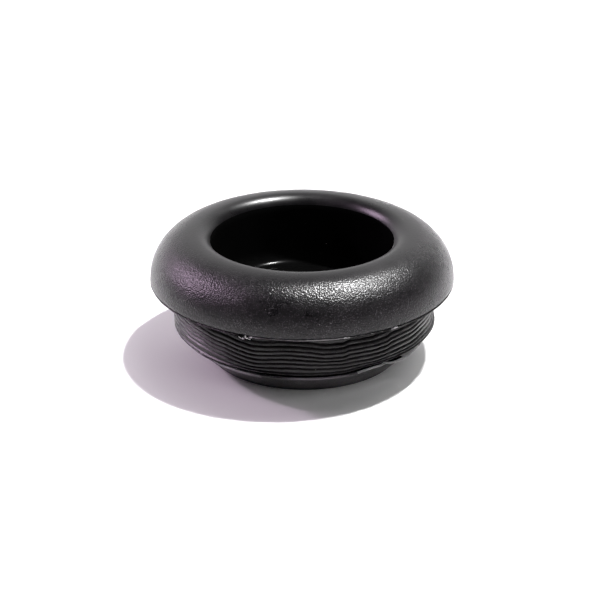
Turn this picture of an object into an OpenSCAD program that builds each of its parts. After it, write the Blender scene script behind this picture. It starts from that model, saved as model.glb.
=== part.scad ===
// Rubber plug for a round hole in a floor panel, moulded in one piece.
// A tapered foot leads it in, fine ribs on the neck grip the hole, and a fat
// half-round head with an open cup seats on the panel.
// Millimetres. The base stands on Z = 0 and the axis is Z.

/* [Head] */
// Diameter of the head at its parting line, where it is widest
head_d = 36.8; // [33:0.1:42]
// Height of the land from the sealing face under the head to the parting line
land_h = 0.35; // [0.3:0.05:1.5]
// Radius of the round from the crown down into the cup
lip_r = 1.85; // [1:0.05:3.5]
// Radius of the fine seam groove under the half-round
seam_r = 0.08; // [0.04:0.01:0.12]
// Rounding of the head's lower edge, below the seam
head_edge_r = 0.12; // [0.05:0.01:0.15]

/* [Cup] */
// Diameter of the cup's straight wall
cup_d = 21.8; // [14:0.1:22.6]
// Depth of the cup from the crown to its floor
cup_depth = 8.6; // [5:0.1:11]
// Radius of the fillet round the cup's floor
cup_fillet_r = 1.9; // [0.4:0.1:2.5]

/* [Ribbed neck] */
// Diameter over the rib crests, which press into the hole
rib_d = 31.9; // [31:0.1:33.5]
// Number of ribs on the neck
rib_count = 9; // [7:1:12]
// Number of ribs, from the lowest up, that have the full diameter
grip_count = 6; // [2:1:7]
// Height from the skirt's lower edge to the lowest groove
edge_rib_h = 0.315; // [0.3:0.005:0.6]
// Distance from one rib to the next
rib_pitch = 0.535; // [0.45:0.005:0.7]
// Radius of the groove between two ribs
rib_groove_r = 0.17; // [0.1:0.01:0.21]
// Bevel on the lower edge of the lowest rib
rib_bevel = 0.12; // [0.05:0.01:0.2]
// Diameter of the plain neck between the ribs and the head
neck_d = 30.9; // [29.5:0.1:31.5]
// Height of the plain neck
neck_h = 0.9; // [0.7:0.1:2]
// Radius of the fillet where the neck meets the head
neck_fillet_r = 0.65; // [0.2:0.05:0.7]

/* [Foot] */
// Diameter of the flat base
foot_d = 23.7; // [16:0.1:27]
// Diameter of the foot where its taper ends
foot_top_d = 29.4; // [26:0.1:31]
// Height of the tapered foot
foot_h = 2.95; // [2:0.05:4]
// Height of the groove between the foot and the skirt's lower edge
undercut_h = 1.07; // [0.4:0.01:1.4]
// Depth of that groove, in from the top of the foot
undercut_w = 0.7; // [0.3:0.05:1]
// Thickness of the flash round the top of the foot
flash_t = 0.15; // [0.08:0.01:0.3]
// Distance that the flash stands out from the foot
flash_w = 0.25; // [0.1:0.05:0.4]

/* [Hidden] */
$fn = 144;
rubber = [0.09, 0.09, 0.1];

head_r = head_d / 2;
cup_r = cup_d / 2;
rib_r = rib_d / 2;
neck_r = neck_d / 2;
foot_r = foot_d / 2;
foot_top_r = foot_top_d / 2;

skirt_z = foot_h + undercut_h;
groove_z = skirt_z + edge_rib_h;
grip_z = groove_z + (grip_count - 1) * rib_pitch;
neck_z = groove_z + (rib_count - 1) * rib_pitch;
seal_z = neck_z + neck_h;
seam_z = seal_z + land_h;
crown_x = cup_r + lip_r;
crown_r = head_r - crown_x;
crown_z = seam_z + crown_r;
floor_z = crown_z - cup_depth;

// Right half of the section of the tapered foot, its flash and its core
module foot_section() {
    polygon([[0, 0], [foot_r, 0], [foot_top_r, foot_h], [0, foot_h]]);
    translate([0, foot_h]) square([foot_top_r - undercut_w, undercut_h]);
    translate([0, foot_h]) square([foot_top_r + flash_w, flash_t]);
}

// Half section of the neck: ribs at full diameter, then drawn in to the plain neck
module neck_section() {
    difference() {
        polygon([
            [0, skirt_z], [rib_r - rib_bevel, skirt_z], [rib_r, skirt_z + rib_bevel],
            [rib_r, grip_z], [neck_r, neck_z], [neck_r, seal_z], [0, seal_z]
        ]);
        for (i = [0 : rib_count - 2])
            translate([crest_r(groove_z + i * rib_pitch), groove_z + i * rib_pitch])
                circle(rib_groove_r);
    }
    neck_fillet_section();
}

// Radius over the rib crests at height z
function crest_r(z) =
    z <= grip_z ? rib_r : rib_r + (neck_r - rib_r) * (z - grip_z) / (neck_z - grip_z);

// Half section of the fillet between the neck and the sealing face
module neck_fillet_section() {
    translate([neck_r, seal_z - neck_fillet_r]) difference() {
        square(neck_fillet_r);
        translate([neck_fillet_r, 0]) circle(neck_fillet_r);
    }
}

// Half section of the solid head: a half-round over a rounded lower edge
module head_section() {
    difference() {
        union() {
            translate([0, seal_z]) square([crown_x, land_h + crown_r]);
            translate([0, seal_z + head_edge_r]) square([head_r, land_h - head_edge_r]);
            translate([0, seal_z]) square([head_r - head_edge_r, head_edge_r]);
            translate([head_r - head_edge_r, seal_z + head_edge_r]) circle(head_edge_r);
            crown_quarter();
        }
        translate([head_r, seam_z - seam_r]) circle(seam_r);
    }
}

// Quarter circle from the parting line up to the crown
module crown_quarter() {
    translate([crown_x, seam_z]) intersection() {
        circle(crown_r);
        square(crown_r);
    }
}

// Half section of the space in the cup, with its floor fillet and rounded lip
module cup_section() {
    translate([0, floor_z]) square([cup_r - cup_fillet_r, cup_depth]);
    translate([0, floor_z + cup_fillet_r]) square([cup_r, cup_depth - cup_fillet_r]);
    translate([cup_r - cup_fillet_r, floor_z + cup_fillet_r]) circle(cup_fillet_r);
    translate([cup_r, crown_z - lip_r]) difference() {
        square(lip_r);
        translate([lip_r, 0]) circle(lip_r);
    }
}

// The whole plug, turned from its section
module floor_plug() {
    color(rubber) rotate_extrude() difference() {
        union() {
            foot_section();
            neck_section();
            head_section();
        }
        cup_section();
    }
}

floor_plug();
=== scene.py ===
"""Dresses the moulded rubber floor plug and sets it on a pale table.

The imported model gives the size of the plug. This script turns the same section
as a fine mesh, works the hand of the mould into it (drifting ribs, ragged flash,
a torn lip), gives each region its rubber finish, and adds the table and lamps.
Lengths of the plug are in millimetres and those of the studio in metres, and
meshes are built in metres. A bearing runs from the front, -Y, toward +X.
"""

import logging
import math
from dataclasses import dataclass, field
from enum import Enum
from random import Random

import bpy
import numpy as np
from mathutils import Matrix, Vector, noise

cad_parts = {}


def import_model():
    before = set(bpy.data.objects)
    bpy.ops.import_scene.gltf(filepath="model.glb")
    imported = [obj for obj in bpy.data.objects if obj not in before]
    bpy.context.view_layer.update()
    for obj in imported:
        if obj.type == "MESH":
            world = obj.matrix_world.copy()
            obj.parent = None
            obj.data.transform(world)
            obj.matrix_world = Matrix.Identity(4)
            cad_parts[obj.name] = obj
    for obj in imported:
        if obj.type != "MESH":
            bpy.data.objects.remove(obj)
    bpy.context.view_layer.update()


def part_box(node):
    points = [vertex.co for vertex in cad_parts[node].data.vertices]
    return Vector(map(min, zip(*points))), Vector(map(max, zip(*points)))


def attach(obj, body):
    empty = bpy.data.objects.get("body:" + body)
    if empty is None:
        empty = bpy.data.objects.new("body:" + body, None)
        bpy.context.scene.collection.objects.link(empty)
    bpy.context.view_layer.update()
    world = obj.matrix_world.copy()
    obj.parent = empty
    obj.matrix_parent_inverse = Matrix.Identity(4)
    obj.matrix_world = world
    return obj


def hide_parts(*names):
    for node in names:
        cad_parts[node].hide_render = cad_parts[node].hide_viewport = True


MM = 0.001
NODE = "floor_plug"
BODY = "root"

log = logging.getLogger("floor_plug")

Point = tuple[float, float]
Colour = tuple[float, float, float]

MIX_FIRST, MIX_SECOND, MIX_RESULT = 6, 7, 2
"""Colour sockets of the Mix node: its two inputs and its output."""


class Region(Enum):
    """Regions of the plug with a finish of their own, in material slot order.

    CROWN is the half-round head; the cup's region holds the smooth cup, and painted shade in the
    undercut and in the crease under the lip; NECK holds the ribs and FOOT the tapered foot; the
    flash's region holds the feathered edge of foot and parting lip, dusty and paled further as a
    painted highlight; the torn region holds the nick's shards and the flash's strip, painted pale
    as lit, a painted light; and the flank's region holds the side lamp's light, painted as a pale
    purple band under the foot's flash.
    """

    CROWN = 0
    CUP = 1
    NECK = 2
    FOOT = 3
    FLASH = 4
    TORN = 5
    FLANK = 6


# ---------------------------------------------------------------- small helpers


def smooth_ramp(value: np.ndarray, low: float, high: float) -> np.ndarray:
    """Smooth step from 0 at low to 1 at high.

    Args:
        value: The numbers to ramp.
        low: Where the ramp starts.
        high: Where the ramp ends; it may lie below low for a falling ramp.

    Returns:
        Numbers from 0 to 1.
    """
    t = np.clip((value - low) / (high - low), 0.0, 1.0)
    return t * t * (3.0 - 2.0 * t)


def arc(centre: Point, radius: float, start: float, end: float, steps: int) -> list[Point]:
    """Points along an arc in the section plane.

    Args:
        centre: Radius and height of the arc's centre.
        radius: Radius of the arc.
        start: Angle of the first point in degrees, from outward toward up.
        end: Angle of the last point in degrees.
        steps: Number of steps between the first and last point.

    Returns:
        The points, both ends included.
    """
    angles = [math.radians(start + (end - start) * i / steps) for i in range(steps + 1)]
    return [(centre[0] + radius * math.cos(a), centre[1] + radius * math.sin(a)) for a in angles]


def line(start: Point, end: Point, steps: int) -> list[Point]:
    """Points along a straight stretch of the section.

    Args:
        start: Radius and height where it starts.
        end: Radius and height where it ends.
        steps: Number of steps between the two.

    Returns:
        The points, without the first one.
    """
    return [
        (start[0] + (end[0] - start[0]) * i / steps, start[1] + (end[1] - start[1]) * i / steps)
        for i in range(1, steps + 1)
    ]


def bearing_of(place: np.ndarray) -> np.ndarray:
    """Bearing in degrees of each point, given by its coordinates."""
    return np.degrees(np.arctan2(place[:, 0], -place[:, 1]))


def deselect_all() -> None:
    """Leaves nothing selected, in object mode."""
    if bpy.context.object and bpy.context.object.mode != "OBJECT":
        bpy.ops.object.mode_set(mode="OBJECT")
    bpy.ops.object.select_all(action="DESELECT")


# ------------------------------------------------------- the hand of the mould


@dataclass(frozen=True)
class Swell:
    """A smooth rise or fall round one bearing.

    Attributes:
        bearing: Bearing of its middle in degrees.
        width: Degrees from the middle to where the swell has mostly died away.
        amount: Amount at the middle: mm where it moves points, else a share.
    """

    bearing: float
    width: float
    amount: float

    def at(self, bearing: np.ndarray) -> np.ndarray:
        """Amount at each bearing."""
        away = (bearing - self.bearing + 180.0) % 360.0 - 180.0
        return self.amount * np.exp(-((away / self.width) ** 2))


@dataclass(frozen=True)
class Slide:
    """A stretch over which the ribs run at another height.

    Attributes:
        start: Bearing where the ribs leave their level, in degrees.
        start_run: Degrees that the first change takes.
        end: Bearing where they are back at their level.
        end_run: Degrees that the last change takes.
        lift: Change of height in mm.
    """

    start: float
    start_run: float
    end: float
    end_run: float
    lift: float

    def at(self, bearing: np.ndarray) -> np.ndarray:
        """Reads the slide.

        Args:
            bearing: Bearing of each point in degrees.

        Returns:
            Lift of each point in mm.
        """
        rise = smooth_ramp(bearing, self.start, self.start + self.start_run)
        fall = smooth_ramp(bearing, self.end - self.end_run, self.end)
        return self.lift * rise * (1.0 - fall)


@dataclass
class RibFlow:
    """How the ribs wander up and down as they go round the neck.

    Attributes:
        swells: Waves that the whole set of ribs shares.
        upper: Slides of the upper ribs; a short one is a step in the mould.
        lower: Slides of the lower ribs.
        edge: Slide of the skirt's lower edge.
        edge_top: Height up the neck at which that slide has died away, in mm.
        split_z: Height at which upper ribs part from lower ones, in mm.
        split_run: Height over which they part, in mm.
        far_span: Bearings between which the swells of the far side stand, in degrees.
        far_gap: Least and most degrees from one of them to the next.
        far_width: Least and most width of one, in degrees.
        far_lift: Most that one lifts or lowers the ribs, in mm.
        seed: Seed of the far side's swells.
    """

    swells: list[Swell] = field(default_factory=lambda: [
        Swell(-35, 4, 0.10), Swell(-22, 7, -0.28), Swell(-6, 6, 0.13),
        Swell(30, 4, -0.06), Swell(44, 5, 0.07), Swell(62, 7, 0.16), Swell(78, 6, -0.14),
    ])
    upper: list[Slide] = field(default_factory=lambda: [
        Slide(-170, 50, -28, 26, 0.50),
        Slide(0, 11, 150, 50, -0.32), Slide(16.5, 2.6, 120, 30, 0.22), Slide(37, 2.2, 110, 30, 0.20),
    ])
    lower: list[Slide] = field(default_factory=lambda: [
        Slide(-170, 50, -28, 26, 0.42), Slide(0, 30, 150, 60, -0.24),
    ])
    edge: Slide = Slide(15, 12, 110, 40, 0.30)
    edge_top: float = 6.4
    split_z: float = 5.8
    split_run: float = 1.2
    far_span: Point = (96.0, 290.0)
    far_gap: Point = (10, 18)
    far_width: Point = (5, 10)
    far_lift: float = 0.28
    seed: int = 11

    def far_side(self) -> list[Swell]:
        """Draws seeded swells for the half of the neck that faces away.

        Returns:
            The swells.
        """
        rng = Random(self.seed)
        swells = []
        bearing, end = self.far_span
        while bearing < end:
            width = rng.uniform(*self.far_width)
            swells.append(Swell(bearing, width, rng.uniform(-self.far_lift, self.far_lift)))
            bearing += rng.uniform(*self.far_gap)
        return swells

    def lift(self, bearing: np.ndarray, height: np.ndarray) -> np.ndarray:
        """Adds up the lift of the ribs.

        Args:
            bearing: Bearing of each point in degrees.
            height: Height of each point in mm.

        Returns:
            Lift of each point in mm.
        """
        shared = sum(s.at(bearing) for s in self.swells + self.far_side())
        above = smooth_ramp(height, self.split_z - self.split_run / 2, self.split_z + self.split_run / 2)
        high = sum(s.at(bearing) for s in self.upper)
        low = sum(s.at(bearing) for s in self.lower)
        return shared + high * above + low * (1.0 - above)


# ------------------------------------------------------------------- materials


def group_with(name: str, inputs: dict[str, float], outputs: list[str]) -> bpy.types.ShaderNodeTree:
    """Starts a shader node group.

    Args:
        name: Name of the group.
        inputs: Names and starting values of its numbers; a Vector input comes first.
        outputs: Names of the values it puts out.

    Returns:
        The group, with its Group Input and Group Output nodes in place.
    """
    group = bpy.data.node_groups.new(name, "ShaderNodeTree")
    group.interface.new_socket("Vector", in_out="INPUT", socket_type="NodeSocketVector")
    for label, value in inputs.items():
        socket = group.interface.new_socket(label, in_out="INPUT", socket_type="NodeSocketFloat")
        socket.default_value = value
    for label in outputs:
        group.interface.new_socket(label, in_out="OUTPUT", socket_type="NodeSocketFloat")
    group.nodes.new("NodeGroupInput").name = "in"
    group.nodes.new("NodeGroupOutput").name = "out"
    return group


def feed(tree: bpy.types.ShaderNodeTree, value: object, socket: bpy.types.NodeSocket) -> None:
    """Feeds an input.

    Args:
        tree: The node tree.
        value: A socket to link, or a number or colour to set.
        socket: The input.
    """
    if isinstance(value, bpy.types.NodeSocket):
        tree.links.new(value, socket)
    else:
        socket.default_value = value


def math_node(
    tree: bpy.types.ShaderNodeTree, operation: str, first: object, second: object = None
) -> bpy.types.NodeSocket:
    """Adds a Math node.

    Args:
        tree: The node tree.
        operation: The Math node's operation.
        first: A socket or a number.
        second: A socket or a number, or None for an operation on one value.

    Returns:
        The node's output socket.
    """
    node = tree.nodes.new("ShaderNodeMath")
    node.operation = operation
    for socket, value in zip(node.inputs, (first, second)):
        if value is not None:
            feed(tree, value, socket)
    return node.outputs[0]


def ramp_node(
    tree: bpy.types.ShaderNodeTree, value: bpy.types.NodeSocket, low: float, high: float,
    out_low: float = 0.0, out_high: float = 1.0,
) -> bpy.types.NodeSocket:
    """Adds a smooth Map Range node.

    Args:
        tree: The node tree.
        value: What it reads.
        low: Value at which it puts out out_low.
        high: Value at which it puts out out_high.
        out_low: What it puts out at and before low.
        out_high: What it puts out at and beyond high.

    Returns:
        The node's output socket.
    """
    node = tree.nodes.new("ShaderNodeMapRange")
    node.interpolation_type = "SMOOTHSTEP"
    tree.links.new(value, node.inputs["Value"])
    for label, number in zip(("From Min", "From Max", "To Min", "To Max"), (low, high, out_low, out_high)):
        node.inputs[label].default_value = number
    return node.outputs["Result"]


def noise_node(
    tree: bpy.types.ShaderNodeTree, place: bpy.types.NodeSocket, scale: object, detail: float,
    roughness: float = 0.5,
) -> bpy.types.NodeSocket:
    """Adds a Noise Texture node.

    Args:
        tree: The node tree.
        place: Where the noise is read.
        scale: A socket or a number.
        detail: Number of octaves.
        roughness: Strength of each octave against the one before.

    Returns:
        The noise, from 0 to 1.
    """
    node = tree.nodes.new("ShaderNodeTexNoise")
    node.inputs["Detail"].default_value = detail
    node.inputs["Roughness"].default_value = roughness
    tree.links.new(place, node.inputs["Vector"])
    feed(tree, scale, node.inputs["Scale"])
    return node.outputs["Fac"]


@dataclass(frozen=True)
class PebbleGrain:
    """Fine pebbles of moulded rubber over a coarser unevenness, and pale flecks on their tops, painted
    glints.

    The group's Calm and Rough are the radii from the axis, in metres, between which the
    pebbles rise from faint to full.

    Attributes:
        softness: How softly one pebble runs into the next.
        coarse_scale: Scale of the coarser unevenness against that of the pebbles.
        coarse_detail: Octaves of that unevenness.
        faint: Share of the relief that the calm zone keeps.
        glint_scale: Scale of the pale flecks, painted glints, against that of the pebbles.
        glint_detail: Octaves of the flecks.
        glint_from: Noise above which a fleck starts.
        glint_full: Noise at which it is full.
    """

    softness: float = 0.6
    coarse_scale: float = 0.28
    coarse_detail: float = 3.0
    faint: float = 0.15
    glint_scale: float = 1.3
    glint_detail: float = 1.0
    glint_from: float = 0.58
    glint_full: float = 0.70

    def build(self) -> bpy.types.ShaderNodeTree:
        """Builds the group.

        Returns:
            The group, which puts out Height and Glint, the painted glints.
        """
        values = {"Pebbles": 5600.0, "Coarse": 0.35, "Calm": 0.0, "Rough": 0.0001}
        group = group_with("pebble grain", values, ["Height", "Glint"])
        start, end = group.nodes["in"], group.nodes["out"]
        place, pebbles = start.outputs["Vector"], start.outputs["Pebbles"]
        cells = group.nodes.new("ShaderNodeTexVoronoi")
        cells.feature = "SMOOTH_F1"
        cells.inputs["Smoothness"].default_value = self.softness
        group.links.new(place, cells.inputs["Vector"])
        group.links.new(pebbles, cells.inputs["Scale"])
        pebble = math_node(group, "SUBTRACT", 1.0, cells.outputs["Distance"])
        coarse_scale = math_node(group, "MULTIPLY", pebbles, self.coarse_scale)
        uneven = noise_node(group, place, coarse_scale, self.coarse_detail)
        coarse = math_node(group, "MULTIPLY", uneven, start.outputs["Coarse"])
        relief = math_node(group, "ADD", pebble, coarse)
        glint_scale = math_node(group, "MULTIPLY", pebbles, self.glint_scale)
        fine = noise_node(group, place, glint_scale, self.glint_detail)
        # Pale flecks on the pebble tops: painted glints.
        tops = ramp_node(group, fine, self.glint_from, self.glint_full)
        strength = self.strength(group, start)
        group.links.new(math_node(group, "MULTIPLY", relief, strength), end.inputs["Height"])
        group.links.new(math_node(group, "MULTIPLY", tops, strength), end.inputs["Glint"])
        return group

    def strength(
        self, group: bpy.types.ShaderNodeTree, start: bpy.types.NodeGroupInput
    ) -> bpy.types.NodeSocket:
        """Adds the zone in which the pebbles are faint.

        Args:
            group: The group.
            start: Its input node.

        Returns:
            Strength of the pebbles, from faint within Calm to 1 beyond Rough.
        """
        split = group.nodes.new("ShaderNodeSeparateXYZ")
        group.links.new(start.outputs["Vector"], split.inputs["Vector"])
        squares = [math_node(group, "MULTIPLY", split.outputs[i], split.outputs[i]) for i in (0, 1)]
        radius = math_node(group, "SQRT", math_node(group, "ADD", *squares))
        zone = group.nodes.new("ShaderNodeMapRange")
        zone.interpolation_type = "SMOOTHSTEP"
        zone.inputs["To Min"].default_value = self.faint
        group.links.new(radius, zone.inputs["Value"])
        group.links.new(start.outputs["Calm"], zone.inputs["From Min"])
        group.links.new(start.outputs["Rough"], zone.inputs["From Max"])
        return zone.outputs["Result"]


@dataclass(frozen=True)
class DustSpecks:
    """Scattered pale specks, and a film of dust in soft patches.

    Attributes:
        cells: Cells per metre, each of which may hold a speck.
        speck_edge: Distance from its cell's middle at which a speck ends.
        speck_full: Distance within which it is full.
        patches: Patches of film per metre.
        patch_detail: Octaves of the patches.
        patch_from: Noise above which a patch starts.
        patch_full: Noise at which it is full.
    """

    cells: float = 2600.0
    speck_edge: float = 0.17
    speck_full: float = 0.06
    patches: float = 240.0
    patch_detail: float = 6.0
    patch_from: float = 0.42
    patch_full: float = 0.68

    def build(self) -> bpy.types.ShaderNodeTree:
        """Builds the group.

        Returns:
            The group, which puts out Specks and Film.
        """
        group = group_with("dust specks", {"Spread": 0.1, "Film": 0.3}, ["Specks", "Film"])
        start, end = group.nodes["in"], group.nodes["out"]
        cells = group.nodes.new("ShaderNodeTexVoronoi")
        cells.inputs["Scale"].default_value = self.cells
        group.links.new(start.outputs["Vector"], cells.inputs["Vector"])
        chance = group.nodes.new("ShaderNodeSeparateColor")
        group.links.new(cells.outputs["Color"], chance.inputs["Color"])
        chosen = math_node(group, "LESS_THAN", chance.outputs["Red"], start.outputs["Spread"])
        spot = ramp_node(group, cells.outputs["Distance"], self.speck_edge, self.speck_full)
        group.links.new(math_node(group, "MULTIPLY", chosen, spot), end.inputs["Specks"])
        patches = noise_node(group, start.outputs["Vector"], self.patches, self.patch_detail)
        soft = ramp_node(group, patches, self.patch_from, self.patch_full)
        group.links.new(math_node(group, "MULTIPLY", soft, start.outputs["Film"]), end.inputs["Film"])
        return group


@dataclass(frozen=True)
class ToneDrift:
    """A slow drift of tone and gloss over the rubber.

    Attributes:
        clouds: Clouds of tone per metre.
        detail: Octaves of the clouds.
        roughness: Strength of each octave against the one before.
        dark_to: Noise up to which the tone is at its darkest.
        pale_from: Noise from which it is at its palest.
    """

    clouds: float = 160.0
    detail: float = 4.0
    roughness: float = 0.6
    dark_to: float = 0.3
    pale_from: float = 0.7

    def build(self) -> bpy.types.ShaderNodeTree:
        """Builds the group.

        Returns:
            The group, which puts out Drift.
        """
        group = group_with("tone drift", {}, ["Drift"])
        start, end = group.nodes["in"], group.nodes["out"]
        clouds = noise_node(group, start.outputs["Vector"], self.clouds, self.detail, self.roughness)
        group.links.new(ramp_node(group, clouds, self.dark_to, self.pale_from), end.inputs["Drift"])
        return group


class Effects:
    """Shader node groups that the finishes share, each built once."""

    def __init__(self) -> None:
        """Builds the groups."""
        self.grain = PebbleGrain().build()
        self.dust = DustSpecks().build()
        self.tone = ToneDrift().build()


@dataclass(frozen=True)
class RubberFinish:
    """One finish of the black rubber.

    Attributes:
        name: Name of the material.
        dark: Linear colour of clean rubber.
        worn: Linear colour where the tone drifts pale.
        dust: Linear colour of dust.
        gloss_low: Roughness where the surface is smoothest.
        gloss_high: Roughness where it is dullest.
        pebbles: Pebbles per metre.
        depth: Depth of the pebbles, in mm.
        coarse: Share of coarser unevenness.
        calm_r: Radius from the axis, in mm, within which the pebbles are faint.
        rough_r: Radius from which they are full.
        specks: Share of cells that hold a speck.
        film: Strength of the dust film.
        specular: Specular level.
        ior: Index of refraction.
        sheen: Weight of the pale sheen at grazing angles.
        sheen_spread: Roughness of that sheen.
        glint: Linear colour of the pale flecks on the pebble tops, painted glints.
        glint_gloss: How much smoother the flecks are than the rest.
    """

    name: str
    dark: Colour = (0.0045, 0.0040, 0.0050)
    worn: Colour = (0.009, 0.0075, 0.009)
    dust: Colour = (0.30, 0.29, 0.29)
    gloss_low: float = 0.27
    gloss_high: float = 0.35
    pebbles: float = 5800.0
    depth: float = 0.046
    coarse: float = 0.35
    calm_r: float = 0.0
    rough_r: float = 0.1
    specks: float = 0.012
    film: float = 0.01
    specular: float = 0.5
    ior: float = 1.5
    sheen: float = 0.0
    sheen_spread: float = 0.35
    glint: Colour = (0.060, 0.054, 0.060)
    glint_gloss: float = 0.06

    def build(self, effects: Effects) -> bpy.types.Material:
        """Builds the material.

        Args:
            effects: The shared node groups.

        Returns:
            The material.
        """
        material = bpy.data.materials.new(self.name)
        material.use_nodes = True
        tree = material.node_tree
        shader = tree.nodes["Principled BSDF"]
        place = tree.nodes.new("ShaderNodeTexCoord").outputs["Object"]
        drift = self.use(tree, effects.tone, place, {}).outputs["Drift"]
        grain = self.use(tree, effects.grain, place, {
            "Pebbles": self.pebbles, "Coarse": self.coarse,
            "Calm": self.calm_r * MM, "Rough": self.rough_r * MM,
        })
        dust = self.use(tree, effects.dust, place, {"Spread": self.specks, "Film": self.film})
        clean = self.mix(tree, drift, self.dark, self.worn)
        # Painted glints: the pale flecks are mixed into the colour.
        rubber = self.mix(tree, grain.outputs["Glint"], clean, self.glint)
        filmed = self.mix(tree, dust.outputs["Film"], rubber, self.dust)
        dusty = self.mix(tree, dust.outputs["Specks"], filmed, self.dust)
        tree.links.new(dusty, shader.inputs["Base Color"])
        gloss = ramp_node(tree, drift, 0.0, 1.0, self.gloss_low, self.gloss_high)
        smoother = math_node(tree, "MULTIPLY", grain.outputs["Glint"], self.glint_gloss)
        tree.links.new(math_node(tree, "SUBTRACT", gloss, smoother), shader.inputs["Roughness"])
        bump = tree.nodes.new("ShaderNodeBump")
        bump.inputs["Distance"].default_value = self.depth * MM
        tree.links.new(grain.outputs["Height"], bump.inputs["Height"])
        tree.links.new(bump.outputs["Normal"], shader.inputs["Normal"])
        shader.inputs["IOR"].default_value = self.ior
        shader.inputs["Specular IOR Level"].default_value = self.specular
        shader.inputs["Sheen Weight"].default_value = self.sheen
        shader.inputs["Sheen Roughness"].default_value = self.sheen_spread
        return material

    @staticmethod
    def use(
        tree: bpy.types.ShaderNodeTree, group: bpy.types.ShaderNodeTree,
        place: bpy.types.NodeSocket, values: dict[str, float],
    ) -> bpy.types.ShaderNodeGroup:
        """Places a node group in the material.

        Args:
            tree: The material's node tree.
            group: The group.
            place: Where its pattern is read.
            values: Values of its named inputs.

        Returns:
            The group node.
        """
        node = tree.nodes.new("ShaderNodeGroup")
        node.node_tree = group
        tree.links.new(place, node.inputs["Vector"])
        for label, value in values.items():
            node.inputs[label].default_value = value
        return node

    @staticmethod
    def mix(
        tree: bpy.types.ShaderNodeTree, share: bpy.types.NodeSocket, first: object, second: object
    ) -> bpy.types.NodeSocket:
        """Mixes two colours.

        Args:
            tree: The material's node tree.
            share: Share of the second colour.
            first: A socket or a linear colour.
            second: A socket or a linear colour.

        Returns:
            The mixed colour.
        """
        node = tree.nodes.new("ShaderNodeMix")
        node.data_type = "RGBA"
        tree.links.new(share, node.inputs["Factor"])
        for slot, value in ((MIX_FIRST, first), (MIX_SECOND, second)):
            plain = not isinstance(value, bpy.types.NodeSocket)
            feed(tree, (*value, 1.0) if plain else value, node.inputs[slot])
        return node.outputs[MIX_RESULT]


FINISHES: dict[Region, RubberFinish] = {
    Region.CROWN: RubberFinish(
        "crown rubber", dark=(0.0025, 0.0022, 0.0028), worn=(0.006, 0.005, 0.006),
        calm_r=13.4, rough_r=15.8, specular=0.30, sheen=0.10,
    ),
    # Black cup rubber with its gloss nearly off; the same finish is also painted shade in the undercut and
    # in the crease under the lip.
    Region.CUP: RubberFinish(
        "cup rubber and painted shade", dark=(0.002, 0.002, 0.002), worn=(0.003, 0.003, 0.003),
        gloss_low=0.13, gloss_high=0.16, depth=0.002, specks=0.004, film=0.0, specular=0.03,
        glint=(0.003, 0.003, 0.003), glint_gloss=0.0,
    ),
    Region.NECK: RubberFinish(
        "neck rubber", dark=(0.003, 0.0026, 0.0032), worn=(0.008, 0.007, 0.008), gloss_low=0.34,
        gloss_high=0.46, pebbles=7000.0, depth=0.022, specks=0.02, film=0.03, specular=0.36, sheen=0.12,
        glint=(0.020, 0.018, 0.020),
    ),
    Region.FOOT: RubberFinish(
        "foot rubber", worn=(0.012, 0.011, 0.012), gloss_low=0.40, gloss_high=0.55,
        pebbles=6500.0, depth=0.03, specks=0.03, film=0.06, dust=(0.34, 0.31, 0.34), specular=0.4,
    ),
    # Pale flash with a dust film, paled further as a painted highlight of the bright line along the foot's
    # flash and the parting lip.
    Region.FLASH: RubberFinish(
        "moulded flash and painted highlight", dark=(0.05, 0.046, 0.05), worn=(0.16, 0.15, 0.16), gloss_low=0.35, gloss_high=0.5,
        pebbles=6000.0, depth=0.03, specks=0.1, film=0.5, dust=(0.36, 0.32, 0.36), glint=(0.18, 0.17, 0.18),
    ),
    # Painted light: the nick's shards and the flash's strip at the right are painted near white where light
    # catches them.
    Region.TORN: RubberFinish(
        "torn edge and painted light", dark=(0.26, 0.25, 0.26), worn=(0.70, 0.69, 0.70), gloss_low=0.30, gloss_high=0.45,
        pebbles=6000.0, depth=0.02, specks=0.1, film=0.3, glint=(0.75, 0.74, 0.75), specular=0.9,
    ),
    # Painted light: the side lamp's purple light on the foot's flank, painted as a pale purple band.
    Region.FLANK: RubberFinish(
        "painted side light on flank", dark=(0.09, 0.08, 0.09), worn=(0.26, 0.24, 0.26), gloss_low=0.35, gloss_high=0.5,
        pebbles=6000.0, depth=0.03, specks=0.1, film=0.6, dust=(0.55, 0.49, 0.55), glint=(0.30, 0.28, 0.30),
    ),
}


# -------------------------------------------------------------------- the plug


@dataclass(frozen=True)
class Zone:
    """A ring of the plug between two radii and two heights, in mm.

    Attributes:
        inner: Radius beyond which it starts.
        outer: Radius at which it ends.
        low: Height above which it starts.
        high: Height at which it ends.
    """

    inner: float = -math.inf
    outer: float = math.inf
    low: float = -math.inf
    high: float = math.inf

    def holds(self, radius: np.ndarray, height: np.ndarray) -> np.ndarray:
        """Which points, given by radius and height, lie in the ring."""
        return (radius > self.inner) & (radius < self.outer) & (height > self.low) & (height < self.high)


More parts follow.
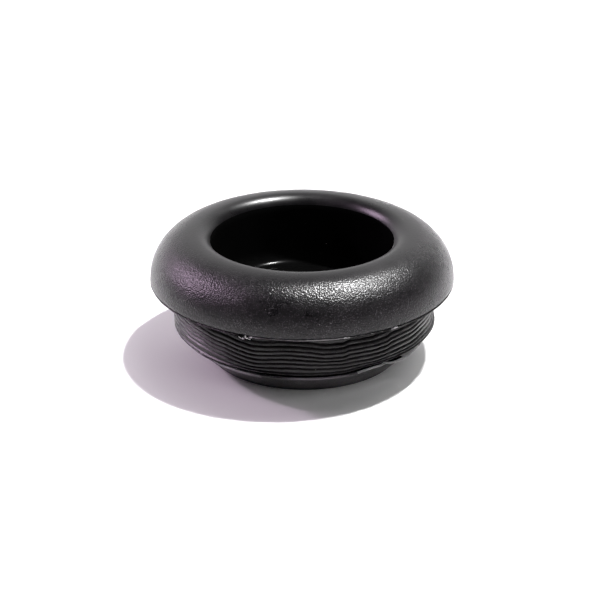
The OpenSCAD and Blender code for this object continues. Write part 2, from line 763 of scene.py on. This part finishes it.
@dataclass(frozen=True)
class Coat:
    """Where on the plug a finish goes.

    Attributes:
        region: The region whose finish it is.
        zone: The ring that it covers.
        swells: Swells that say where along the ring it shows; with none it goes all round.
        over: Sum of the swells above which it shows.
        streaks: Slant of the streaks that break it up, in radians per degree of bearing and
            per mm of height, or None for an unbroken coat.
        streak_over: Sine above which a streak shows.
    """

    region: Region
    zone: Zone
    swells: tuple[Swell, ...] = ()
    over: float = 0.4
    streaks: Point | None = None
    streak_over: float = 0.1

    def covers(self, radius: np.ndarray, height: np.ndarray, bearing: np.ndarray) -> np.ndarray:
        """Finds the points that the coat covers.

        Args:
            radius: Radius of each point in mm.
            height: Height of each point in mm.
            bearing: Bearing of each point in degrees.

        Returns:
            True where the coat covers the point.
        """
        covered = self.zone.holds(radius, height)
        if self.swells:
            covered &= sum(swell.at(bearing) for swell in self.swells) > self.over
        if self.streaks:
            per_degree, per_mm = self.streaks
            covered &= np.sin(per_degree * bearing + per_mm * height) > self.streak_over
        return covered


SKIRT_EDGE: tuple[Point, ...] = ((-0.5, 0.0), (-0.16, 0.01), (-0.04, 0.05), (0.0, 0.12))
"""Rounded lower edge of the skirt, from its radius and its lower edge, in mm."""

GROOVE: tuple[Point, ...] = (
    (-0.24, 0.06), (-0.16, 0.42), (-0.08, 0.88), (0.0, 1.0), (0.08, 0.88), (0.16, 0.42), (0.24, 0.06),
)
"""Groove between two ribs, as shares of the pitch from its middle and of its depth."""


@dataclass
class Section:
    """Half section of the plug in mm, each point given by its radius and height.

    Attributes:
        head_r: Outer radius of the head, from the frame.
        height: Height of the plug, from the frame.
        cup_r: Radius of the cup's wall.
        lip_r: Rounding from the crown down into the cup.
        cup_floor_z: Height of the cup's floor.
        cup_fillet_r: Fillet round that floor.
        pole_r: Radius of the ring that keeps the flat faces' inner points together.
        seal_z: Height of the sealing face.
        land_h: Height of the land, from the sealing face to the parting line.
        land_w: Width of the sealing face's outermost band.
        lip_edge_r: Rounding of the head's lower edge.
        lip_proud: How far the parting lip stands out.
        lip_round: How far its upper edge is drawn in.
        lip_drop: Depths of its lower and upper edge below the parting line.
        crease_depth: Depth of the crease over the lip.
        crease_round: How far the crease's two edges are drawn in.
        crease_drop: Depths of its lower edge, bottom and upper edge below the parting line.
        crown_start: Angle above the parting line at which the crown starts, in degrees.
        neck_r: Radius of the plain neck.
        neck_fillet_r: Fillet between the neck and the sealing face.
        neck_z: Height at which the ribs end.
        grip_z: Height up to which the ribs have their full radius.
        rib_r: Radius over the rib crests.
        rib_base_z: One pitch below the middle of the lowest groove.
        skirt_z: Height of the skirt's lower edge.
        rib_pitch: Distance from one groove to the next.
        rib_grooves: Number of grooves.
        groove_depth: Depth of a groove.
        crest_proud: How far the middle of a crest stands out.
        foot_r: Radius of the flat base.
        foot_edge_r: Rounding of the base's edge.
        foot_top_r: Radius at the top of the foot's taper.
        foot_h: Height of the foot.
        flash_w: How far the foot's flash stands out.
        flash_t: Thickness of the flash.
        flash_low: Lower edge of the flash, from its tip and from the top of the foot.
        flash_high: How far its upper edge is drawn in from its tip.
        flash_root: Rise of its upper side toward the undercut.
        undercut_r: Radius of the undercut between foot and skirt.
        undercut_z: Heights of the undercut's lower and upper end.
        undercut_roof: Where its roof starts, from its radius and from the base.
    """

    head_r: float
    height: float
    cup_r: float = 10.9
    lip_r: float = 1.85
    cup_floor_z: float = 6.92
    cup_fillet_r: float = 1.9
    pole_r: float = 6.0
    seal_z: float = 9.515
    land_h: float = 0.35
    land_w: float = 0.5
    lip_edge_r: float = 0.12
    lip_proud: float = 0.09
    lip_round: float = 0.02
    lip_drop: tuple[float, float] = (0.19, 0.13)
    crease_depth: float = 0.16
    crease_round: float = 0.03
    crease_drop: tuple[float, float, float] = (0.09, 0.06, 0.01)
    crown_start: float = 0.8
    neck_r: float = 15.45
    neck_fillet_r: float = 0.65
    neck_z: float = 8.615
    grip_z: float = 7.01
    rib_r: float = 15.95
    rib_base_z: float = 3.8
    skirt_z: float = 4.02
    rib_pitch: float = 0.535
    rib_grooves: int = 8
    groove_depth: float = 0.22
    crest_proud: float = 0.01
    foot_r: float = 11.85
    foot_edge_r: float = 0.3
    foot_top_r: float = 14.7
    foot_h: float = 2.95
    flash_w: float = 0.28
    flash_t: float = 0.16
    flash_low: Point = (-0.08, 0.02)
    flash_high: float = 0.06
    flash_root: float = 0.05
    undercut_r: float = 14.0
    undercut_z: tuple[float, float] = (3.35, 3.7)
    undercut_roof: Point = (0.15, 3.9)

    @property
    def seam_z(self) -> float:
        """Height of the parting line."""
        return self.seal_z + self.land_h

    def crest_r(self, z: float) -> float:
        """Radius over the rib crests at a height.

        Args:
            z: The height.

        Returns:
            The radius, which shrinks to the plain neck's over the upper ribs.
        """
        if z <= self.grip_z:
            return self.rib_r
        return self.rib_r + (self.neck_r - self.rib_r) * (z - self.grip_z) / (self.neck_z - self.grip_z)

    def foot(self) -> list[Point]:
        """Draws the base, the tapered foot, its flash and the undercut.

        Returns:
            The points, from the base's pole out and up.
        """
        edge = self.foot_edge_r
        tip_r = self.foot_top_r + self.flash_w
        top_z = self.foot_h + self.flash_t
        points = [(0.0, 0.0), (self.pole_r, 0.0)]
        points += arc((self.foot_r - edge, edge), edge, start=-90, end=-10, steps=4)
        points += line(points[-1], (self.foot_top_r, self.foot_h), steps=4)
        points += [(tip_r + self.flash_low[0], self.foot_h + self.flash_low[1])]
        points += [(tip_r, self.foot_h + self.flash_t / 2), (tip_r - self.flash_high, top_z)]
        points += [(self.foot_top_r, top_z + self.flash_root)]
        points += [(self.undercut_r, z) for z in self.undercut_z]
        points += [(self.undercut_r + self.undercut_roof[0], self.undercut_roof[1])]
        return points

    def ribs(self) -> list[Point]:
        """Draws the skirt's lower edge and the ribs.

        Returns:
            The points, up to the plain neck.
        """
        points = [(self.rib_r + out, self.skirt_z + up) for out, up in SKIRT_EDGE]
        for index in range(1, self.rib_grooves + 1):
            middle = self.rib_base_z + index * self.rib_pitch
            for share, depth in GROOVE[1:] if index == 1 else GROOVE:
                z = middle + share * self.rib_pitch
                points.append((self.crest_r(z) - depth * self.groove_depth, z))
            crest = middle + self.rib_pitch / 2
            points.append((self.crest_r(crest) + self.crest_proud, crest))
        return points

    def seal(self) -> list[Point]:
        """Draws the neck's fillet, the sealing face and the head's lower edge.

        Returns:
            The points, from the neck outward.
        """
        fillet, edge = self.neck_fillet_r, self.lip_edge_r
        points = arc((self.neck_r + fillet, self.seal_z - fillet), fillet, start=180, end=90, steps=6)
        points += line(points[-1], (self.head_r - self.land_w, self.seal_z), steps=3)
        points += arc((self.head_r - edge, self.seal_z + edge), edge, start=-90, end=0, steps=3)
        return points

    def parting(self) -> list[Point]:
        """Draws the parting lip and the crease over it.

        Returns:
            The points, upward.
        """
        lip_low, lip_top = (self.seam_z - drop for drop in self.lip_drop)
        crease_low, crease_z, crease_top = (self.seam_z - drop for drop in self.crease_drop)
        proud_r = self.head_r + self.lip_proud
        crease_r = self.head_r - self.crease_round
        return [
            (proud_r, lip_low), (proud_r - self.lip_round, lip_top), (crease_r, crease_low),
            (self.head_r - self.crease_depth, crease_z), (crease_r, crease_top),
        ]

    def crown(self) -> list[Point]:
        """Draws the half-round crown and the lip that leads down into the cup.

        Returns:
            The points, from the parting line to the cup's wall.
        """
        crown_x = self.cup_r + self.lip_r
        crown_r = self.head_r - crown_x
        points = arc((crown_x, self.seam_z), crown_r, start=self.crown_start, end=90, steps=26)
        points += arc((crown_x, self.height - self.lip_r), self.lip_r, start=90, end=180, steps=14)[1:]
        return points

    def cup(self) -> list[Point]:
        """Draws the cup's wall, fillet and floor.

        Returns:
            The points, down to the floor's pole.
        """
        fillet, floor_z = self.cup_fillet_r, self.cup_floor_z
        points = line((self.cup_r, self.height - self.lip_r), (self.cup_r, floor_z + fillet), steps=4)
        points += arc((self.cup_r - fillet, floor_z + fillet), fillet, start=0, end=-90, steps=7)[1:]
        points += [(self.pole_r, floor_z), (self.pole_r / 2, floor_z), (0.0, floor_z)]
        return points

    def outline(self) -> list[Point]:
        """The whole half section from the base pole to the cup floor's pole."""
        return self.foot() + self.ribs() + self.seal() + self.parting() + self.crown() + self.cup()


@dataclass
class Points:
    """The plug's points while the mould's marks are worked into them.

    Attributes:
        radius: Radius of each point in mm.
        height: Height of each point in mm.
        bearing: Bearing of each point in degrees.
        rough: Unevenness at each point, from about -1 to 1.
    """

    radius: np.ndarray
    height: np.ndarray
    bearing: np.ndarray
    rough: np.ndarray

    def within(self, zone: Zone) -> np.ndarray:
        """Which points lie in a ring."""
        return zone.holds(self.radius, self.height)

    def move(self, chosen: np.ndarray, radius: np.ndarray, height: np.ndarray) -> None:
        """Moves the chosen points.

        Args:
            chosen: Which points move.
            radius: New radius of each.
            height: New height of each.
        """
        self.radius = np.where(chosen, radius, self.radius)
        self.height = np.where(chosen, height, self.height)


@dataclass(frozen=True)
class Unevenness:
    """Fixed unevenness of the outside, finer up and down than round.

    Attributes:
        around: Radius of the circle in the noise that the outside is read from.
        upward: Distance in the noise per mm of height.
        finer: Scale of the second octave.
        finer_share: Its strength.
    """

    around: float = 14.0
    upward: float = 1.9
    finer: float = 2.3
    finer_share: float = 0.6

    def at(self, bearing: np.ndarray, height: np.ndarray) -> np.ndarray:
        """Reads the unevenness.

        Args:
            bearing: Bearing of each point in degrees.
            height: Height of each point in mm.

        Returns:
            Numbers from about -1 to 1.
        """
        turn = np.radians(bearing)
        spots = zip(np.sin(turn) * self.around, np.cos(turn) * self.around, height * self.upward)
        points = [Vector(spot) for spot in spots]
        return np.array([noise.noise(p) + self.finer_share * noise.noise(p * self.finer) for p in points])


@dataclass
class MouldedPlug:
    """The plug itself, one moulded piece.

    Attributes:
        section: Its half section.
        flow: How its ribs wander.
        uneven: Its unevenness.
        columns: Steps round the axis.
        weld: Distance within which points are welded, in mm.
        crisp_angle: Angle of an edge that stays crisp, in degrees.
        shift: How far the lower mould half sat toward +X, in mm.
        rib_rough: How far the unevenness lifts the ribs, in mm.
        rib_push: How far it pushes them out, in mm.
        calm_edge: Height over the skirt's edge up to which the ribs don't fully wander, in mm.
        calm_top: Depths under the sealing face, where they don't wander at all, and under the
            plain neck, from where they fully do, in mm.
        waist: Where, and how far, the ribs are drawn in over the flared skirt edge.
        waist_rise: Heights over the skirt's edge at which that starts and is full, in mm.
        flash_rough: How far the unevenness moves the foot's flash out and up, in mm.
        flash_reach: Where the flash stands out further.
        flash_rise: Where it curls up.
        lip_rough: How far the unevenness moves the parting lip, in mm.
        lip_worn: How far the lip is drawn in away from its pale line, in mm.
        pale_lip_line: Where the parting lip stays full and shows a pale line, a painted highlight.
        nick: Where a nick tore shards from the lip.
        nick_push: How far the unevenness pushes them out, in mm.
        nick_drop: How far they hang down, and how much more by the unevenness, in mm.
        flank: Where the side lamp's light is painted on the foot's flank, as a pale purple band.
        strip: Where the flash's strip is painted pale where light catches it.
        piece: The object, once it is built.
    """

    section: Section
    flow: RibFlow = field(default_factory=RibFlow)
    uneven: Unevenness = Unevenness()
    columns: int = 624
    weld: float = 0.002
    crisp_angle: float = 60.0
    shift: float = 0.3
    rib_rough: float = 0.05
    rib_push: float = 0.02
    calm_edge: float = 1.1
    calm_top: Point = (0.25, 0.6)
    waist: Swell = Swell(84, 26, 0.38)
    waist_rise: Point = (0.2, 1.6)
    flash_rough: Point = (0.08, 0.05)
    flash_reach: tuple[Swell, ...] = (
        Swell(-42, 22, 0.50), Swell(40.5, 2.5, -0.35), Swell(54, 10, 0.30),
    )
    flash_rise: tuple[Swell, ...] = (Swell(-42, 22, 0.50), Swell(33, 9, 0.32), Swell(56, 10, 0.16))
    lip_rough: float = 0.05
    lip_worn: float = 0.07
    pale_lip_line: tuple[Swell, ...] = (Swell(-1, 20, 1.0), Swell(35, 1.4, 1.0))
    nick: Swell = Swell(-20.3, 2.6, 1.0)
    nick_push: float = 0.14
    nick_drop: tuple[float, float] = (0.12, 0.6)
    flank: Swell = Swell(-37, 18, 1.0)
    strip: Swell = Swell(46, 20, 1.0)
    piece: bpy.types.Object = None

    def build(self) -> None:
        """Turns the section and works the mould's marks into the mesh."""
        self.piece = self.turn(self.section.outline(), "moulded_plug")
        self.sculpt()
        self.shade()

    def turn(self, outline: list[Point], name: str) -> bpy.types.Object:
        """Draws the outline as a chain of edges and spins it round the axis.

        Args:
            outline: Radius and height of each point, in mm.
            name: Name of the piece.

        Returns:
            The turned object.
        """
        deselect_all()
        bpy.ops.mesh.primitive_plane_add(size=MM, location=(0, 0, 0))
        piece = bpy.context.object
        piece.name = name
        bpy.ops.object.mode_set(mode="EDIT")
        bpy.ops.mesh.select_all(action="SELECT")
        bpy.ops.mesh.merge(type="CENTER")
        last = outline[0]
        for point in outline[1:]:
            step = ((point[0] - last[0]) * MM, 0.0, (point[1] - last[1]) * MM)
            bpy.ops.mesh.extrude_vertices_move(TRANSFORM_OT_translate={"value": step})
            last = point
        bpy.ops.mesh.select_all(action="SELECT")
        bpy.ops.mesh.spin(steps=self.columns, angle=2 * math.pi, center=(0, 0, 0), axis=(0, 0, 1))
        bpy.ops.mesh.select_all(action="SELECT")
        bpy.ops.mesh.remove_doubles(threshold=self.weld * MM)
        bpy.ops.mesh.normals_make_consistent(inside=False)
        bpy.ops.object.mode_set(mode="OBJECT")
        return piece

    def sculpt(self) -> None:
        """Moves the mesh's points by the marks that the mould left."""
        mesh = self.piece.data
        flat = np.empty(len(mesh.vertices) * 3)
        mesh.vertices.foreach_get("co", flat)
        place = flat.reshape(-1, 3) / MM
        bearing, level = bearing_of(place), place[:, 2].copy()
        radius = np.hypot(place[:, 0], place[:, 1])
        points = Points(radius, level, bearing, self.uneven.at(bearing, level))
        self.flow_ribs(points)
        self.ragged_lip(points)
        self.ragged_flash(points)
        turn = np.radians(bearing)
        place[:, 0] = points.radius * np.sin(turn) + self.slip(points.radius, level)
        place[:, 1] = -points.radius * np.cos(turn)
        place[:, 2] = points.height
        mesh.vertices.foreach_set("co", (place * MM).ravel())
        mesh.update()

    def flow_ribs(self, points: Points) -> None:
        """Lets the ribs wander, and draws them in over the skirt's flared edge.

        Args:
            points: The plug's points, some of which it moves.
        """
        s, height, bearing, rough = self.section, points.height, points.bearing, points.rough
        skirt = points.within(Zone(inner=s.neck_r - 0.9, low=s.skirt_z - 0.05, high=s.seal_z - 0.2))
        free_edge = smooth_ramp(height, s.skirt_z, s.skirt_z + self.calm_edge)
        free_top = smooth_ramp(height, s.seal_z - self.calm_top[0], s.neck_z - self.calm_top[1])
        lift = (self.flow.lift(bearing, height) + self.rib_rough * rough) * (free_edge * free_top)
        edge = self.flow.edge.at(bearing) * smooth_ramp(height, self.flow.edge_top, s.skirt_z)
        start, full = self.waist_rise
        over_edge = smooth_ramp(height, s.skirt_z + start, s.skirt_z + full)
        drawn_in = self.waist.at(bearing) * (over_edge * smooth_ramp(height, s.seal_z, s.neck_z))
        pushed = points.radius - drawn_in + self.rib_push * rough
        points.move(skirt, pushed, height + lift + edge)

    def ragged_lip(self, points: Points) -> None:
        """Makes the parting lip uneven, and tears the nick's shards from it.

        Args:
            points: The plug's points, some of which it moves.
        """
        s, height, rough = self.section, points.height, points.rough
        lip = points.within(Zone(inner=s.head_r - 0.3, low=s.seal_z - 0.01, high=s.seam_z + 0.05))
        torn = np.clip(sum(swell.at(points.bearing) for swell in self.pale_lip_line), 0.0, 1.2)
        nick = self.nick.at(points.bearing)
        drawn = points.radius + self.lip_rough * rough - self.lip_worn * (1.0 - torn)
        hang, hang_rough = self.nick_drop
        lowered = height + self.lip_rough * rough - nick * (hang + hang_rough * np.abs(rough))
        under = height < s.seam_z - 0.1
        points.move(lip, drawn + self.nick_push * nick * rough, np.where(under, lowered, height))

    def ragged_flash(self, points: Points) -> None:
        """Makes the foot's flash uneven and curls it up in places.

        Args:
            points: The plug's points, some of which it moves.
        """
        s, bearing = self.section, points.bearing
        flash = points.within(Zone(inner=s.foot_top_r - 0.05, low=s.foot_h - 0.02, high=s.foot_h + 0.3))
        out_rough, up_rough = self.flash_rough
        reach = sum(swell.at(bearing) for swell in self.flash_reach) + out_rough * points.rough
        rise = sum(swell.at(bearing) for swell in self.flash_rise) + up_rough * points.rough
        points.move(flash, points.radius + reach, points.height + rise)

    def slip(self, radius: np.ndarray, height: np.ndarray) -> np.ndarray:
        """Finds how far the points below the head sit toward +X.

        Args:
            radius: Radius of each point in mm.
            height: Height of each point on the turned section, in mm.

        Returns:
            Distance of each point in mm; the cup above the foot stays with the head.
        """
        s = self.section
        below_head = smooth_ramp(height, s.seal_z + 0.02, s.neck_z)
        outside = radius > s.cup_r + 1.0
        foot = height < s.cup_floor_z - 0.5
        return self.shift * np.where(foot, 1.0, below_head * outside)

    def shade(self) -> None:
        """Smooths the shading, keeping real corners crisp."""
        deselect_all()
        self.piece.select_set(True)
        bpy.context.view_layer.objects.active = self.piece
        bpy.ops.object.shade_smooth_by_angle(angle=math.radians(self.crisp_angle))

    def coats(self) -> list[Coat]:
        """Lists the finishes that go over the neck's.

        The head, the cup, the foot and its flash come first, then painted shade on the undercut and on
        the crease under the lip, and last the parting lip's pale line, a painted highlight, the side
        lamp's light painted on the flank, the nick's shards painted pale as lit, and the flash's strip
        painted pale where light catches it.

        Returns:
            The coats, in the order in which they are laid on.
        """
        s = self.section
        foot_top = s.skirt_z - 0.05
        lip_top, lip_low = s.seam_z - 0.09, s.seam_z - 0.20
        flash_edge = Zone(inner=s.foot_top_r + 0.02, low=s.foot_h - 0.05, high=s.skirt_z - 0.1)
        nick_edge = Zone(inner=s.head_r - 0.4, high=s.seam_z - 0.12)
        return [
            Coat(Region.CROWN, Zone(low=s.seal_z + 0.02)),
            Coat(Region.CUP, Zone(outer=s.cup_r + s.lip_r * 0.1, low=s.cup_floor_z - 0.1)),
            Coat(Region.FOOT, Zone(high=foot_top)),
            # The foot's flash, paled as a painted highlight.
            Coat(Region.FLASH, Zone(inner=s.foot_top_r, low=s.foot_h, high=foot_top)),
            # Painted shade: the undercut between foot and skirt takes the black cup finish.
            Coat(Region.CUP, Zone(outer=s.foot_top_r + 0.04, low=s.foot_h + 0.1, high=foot_top)),
            # Painted shade: the crease under the lip takes the black cup finish.
            Coat(Region.CUP, Zone(inner=s.neck_r + 0.3, low=s.seal_z - 0.2, high=lip_low)),
            # Painted highlight: the parting lip's pale line at the front.
            Coat(Region.FLASH, Zone(inner=s.head_r - 0.1, low=lip_low, high=lip_top), self.pale_lip_line, 0.45),
            # Painted light: the side lamp's light on the flank, a pale purple band.
            Coat(Region.FLANK, Zone(inner=s.foot_r + 1.0, low=2.0, high=s.foot_h + 0.05), (self.flank,)),
            # The nick's torn shards, painted pale as lit.
            Coat(Region.TORN, nick_edge, (self.nick,), streaks=(2.2, 14.0)),
            # Painted light: the flash's strip at the right, painted pale where light catches it.
            Coat(Region.TORN, flash_edge, (self.strip,), 0.35),
        ]

    def regions(self) -> np.ndarray:
        """Finds the region of each face.

        Returns:
            The material slot of each face.
        """
        polygons = self.piece.data.polygons
        flat = np.empty(len(polygons) * 3)
        polygons.foreach_get("center", flat)
        centre = flat.reshape(-1, 3) / MM
        radius, bearing = np.hypot(centre[:, 0], centre[:, 1]), bearing_of(centre)
        slots = np.full(len(polygons), Region.NECK.value, dtype=np.int32)
        for coat in self.coats():
            slots[coat.covers(radius, centre[:, 2], bearing)] = coat.region.value
        return slots

    def dress(self, effects: Effects) -> None:
        """Gives each region of the plug its finish, and ties the piece to the CAD node.

        Args:
            effects: The shared node groups.
        """
        mesh = self.piece.data
        for region in Region:
            mesh.materials.append(FINISHES[region].build(effects))
        mesh.polygons.foreach_set("material_index", self.regions())
        mesh.update()
        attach(self.piece, BODY)
        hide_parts(NODE)


# ------------------------------------------------------------------ the studio


@dataclass(frozen=True)
class Lamp:
    """A round lamp that looks at the plug.

    Attributes:
        name: Name of the lamp.
        azimuth: Degrees from +Y toward +X.
        elevation: Degrees above the table.
        distance: Metres from the plug.
        width: Diameter in metres.
        level: Share of white that it gives a white table.
        tint: Linear colour.
        matte: Whether dull surfaces see it.
        gloss: Whether gloss sees it.
    """

    name: str
    azimuth: float
    elevation: float
    distance: float
    width: float
    level: float
    tint: Colour = (1.0, 1.0, 1.0)
    matte: bool = True
    gloss: bool = True

    def build(self, aim: Vector) -> bpy.types.Object:
        """Adds the disk lamp, turned toward aim.

        Args:
            aim: The point that it looks at.

        Returns:
            The lamp object.
        """
        turn, rise = math.radians(self.azimuth), math.radians(self.elevation)
        away = Vector((math.sin(turn) * math.cos(rise), math.cos(turn) * math.cos(rise), math.sin(rise)))
        data = bpy.data.lights.new(self.name, "AREA")
        data.shape = "DISK"
        data.size = self.width
        data.energy = self.level * math.pi ** 2 * self.distance ** 2 / math.sin(rise)
        data.color = self.tint
        lamp = bpy.data.objects.new(self.name, data)
        lamp.visible_diffuse = self.matte
        lamp.visible_glossy = self.gloss
        bpy.context.scene.collection.objects.link(lamp)
        lamp.location = aim + away * self.distance
        lamp.rotation_euler = (-away).to_track_quat("-Z", "Y").to_euler()
        return lamp


@dataclass
class Studio:
    """Table, surround, lamps and camera.

    Attributes:
        table_width: Width of the table in metres.
        table_white: Linear grey of the table.
        ambient_far: What dull surfaces see beyond the plug.
        ambient_near: What they see on the camera's side.
        surround_far: What gloss sees beyond the plug.
        surround_near: What gloss sees on the camera's side.
        near_y: How far toward +Y the surround stays near, as the Y of a direction.
        far_y: Where it is fully far.
        lamps: The lamps.
        aim: Point that the lamps look at, in metres.
        eye: Camera position in metres.
        pitch: Degrees that the camera looks down.
        lens: Focal length in mm.
        sensor: Width of the camera's sensor in mm.
        nearest: Distance in metres from which the camera sees.
    """

    table_width: float = 3.0
    table_white: float = 0.97
    ambient_far: float = 2.25
    ambient_near: float = 0.02
    surround_far: float = 1.0
    surround_near: float = 0.02
    near_y: float = 0.40
    far_y: float = 0.88
    lamps: tuple[Lamp, ...] = (
        Lamp("key lamp", 70.0, 70.5, 2.0, 0.12, 1.25, gloss=False),
        Lamp("key sheen", 70.0, 70.5, 2.0, 0.12, 3.0, matte=False),
        Lamp("key glow", 70.0, 70.5, 2.0, 1.07, 0.15, gloss=False),
        Lamp("side lamp", -71.0, 32.0, 2.0, 0.16, 0.18, (1.0, 0.80, 1.0), gloss=False),
        Lamp("side glow", -71.0, 32.0, 2.0, 0.85, 0.09, (1.0, 0.76, 1.0)),
        Lamp("side sheen", -71.0, 32.0, 2.0, 0.60, 0.66, (1.0, 0.74, 1.0), matte=False),
        Lamp("front fill", 130.0, 35.0, 2.0, 1.87, 0.16, gloss=False),
    )
    aim: tuple[float, float, float] = (0.0, 0.0, 0.008)
    eye: tuple[float, float, float] = (-0.00025, -0.1978, 0.0968)
    pitch: float = 24.58
    lens: float = 106.7
    sensor: float = 36.0
    nearest: float = 0.01

    def build(self) -> None:
        """Adds everything round the plug."""
        self.table()
        self.surround()
        for lamp in self.lamps:
            lamp.build(Vector(self.aim))
        self.camera()

    def table(self) -> None:
        """Adds a pale table top that takes the plug's shadow."""
        deselect_all()
        bpy.ops.mesh.primitive_plane_add(size=self.table_width, location=(0, 0, 0))
        table = bpy.context.object
        table.name = "table"
        material = bpy.data.materials.new("pale table")
        material.use_nodes = True
        shader = material.node_tree.nodes["Principled BSDF"]
        shader.inputs["Base Color"].default_value = (self.table_white,) * 3 + (1.0,)
        shader.inputs["Roughness"].default_value = 0.9
        shader.inputs["Specular IOR Level"].default_value = 0.0
        table.data.materials.append(material)

    def surround(self) -> None:
        """Adds a surround that the camera sees white, and that is dark on the camera's side."""
        world = bpy.data.worlds.new("surround")
        world.use_nodes = True
        bpy.context.scene.world = world
        tree = world.node_tree
        back = tree.nodes["Background"]
        path = tree.nodes.new("ShaderNodeLightPath")
        split = tree.nodes.new("ShaderNodeSeparateXYZ")
        tree.links.new(tree.nodes.new("ShaderNodeTexCoord").outputs["Generated"], split.inputs["Vector"])
        toward_y, camera_ray = split.outputs["Y"], path.outputs["Is Camera Ray"]
        gloss = ramp_node(tree, toward_y, self.near_y, self.far_y, self.surround_near, self.surround_far)
        dull = ramp_node(tree, toward_y, self.near_y, self.far_y, self.ambient_near, self.ambient_far)
        mirror = math_node(
            tree, "MAXIMUM", path.outputs["Is Glossy Ray"], path.outputs["Is Transmission Ray"]
        )
        plain = math_node(tree, "MULTIPLY", math_node(tree, "SUBTRACT", 1.0, mirror), dull)
        seen = math_node(tree, "ADD", math_node(tree, "MULTIPLY", mirror, gloss), plain)
        lit = math_node(tree, "MULTIPLY", seen, math_node(tree, "SUBTRACT", 1.0, camera_ray))
        tree.links.new(math_node(tree, "ADD", lit, camera_ray), back.inputs["Strength"])
        back.inputs["Color"].default_value = (1.0, 1.0, 1.0, 1.0)

    def camera(self) -> None:
        """Adds the camera, a little above the plug."""
        data = bpy.data.cameras.new("camera")
        data.lens = self.lens
        data.sensor_width = self.sensor
        data.clip_start = self.nearest
        camera = bpy.data.objects.new("camera", data)
        bpy.context.scene.collection.objects.link(camera)
        camera.location = self.eye
        camera.rotation_euler = (math.radians(90.0 - self.pitch), 0.0, 0.0)
        bpy.context.scene.camera = camera


def main() -> None:
    """Builds and dresses the plug, then its surroundings."""
    logging.basicConfig(level=logging.INFO, format="%(name)s: %(message)s")
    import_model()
    bpy.context.scene.view_settings.view_transform = "Standard"
    low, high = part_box(NODE)
    section = Section(head_r=(high[0] - low[0]) / 2 / MM, height=(high[2] - low[2]) / MM)
    plug = MouldedPlug(section)
    plug.build()
    plug.dress(Effects())
    log.info("%s: %d faces", plug.piece.name, len(plug.piece.data.polygons))
    Studio().build()
    log.info("table, surround, lamps and camera are in place")


if __name__ == "__main__":
    main()
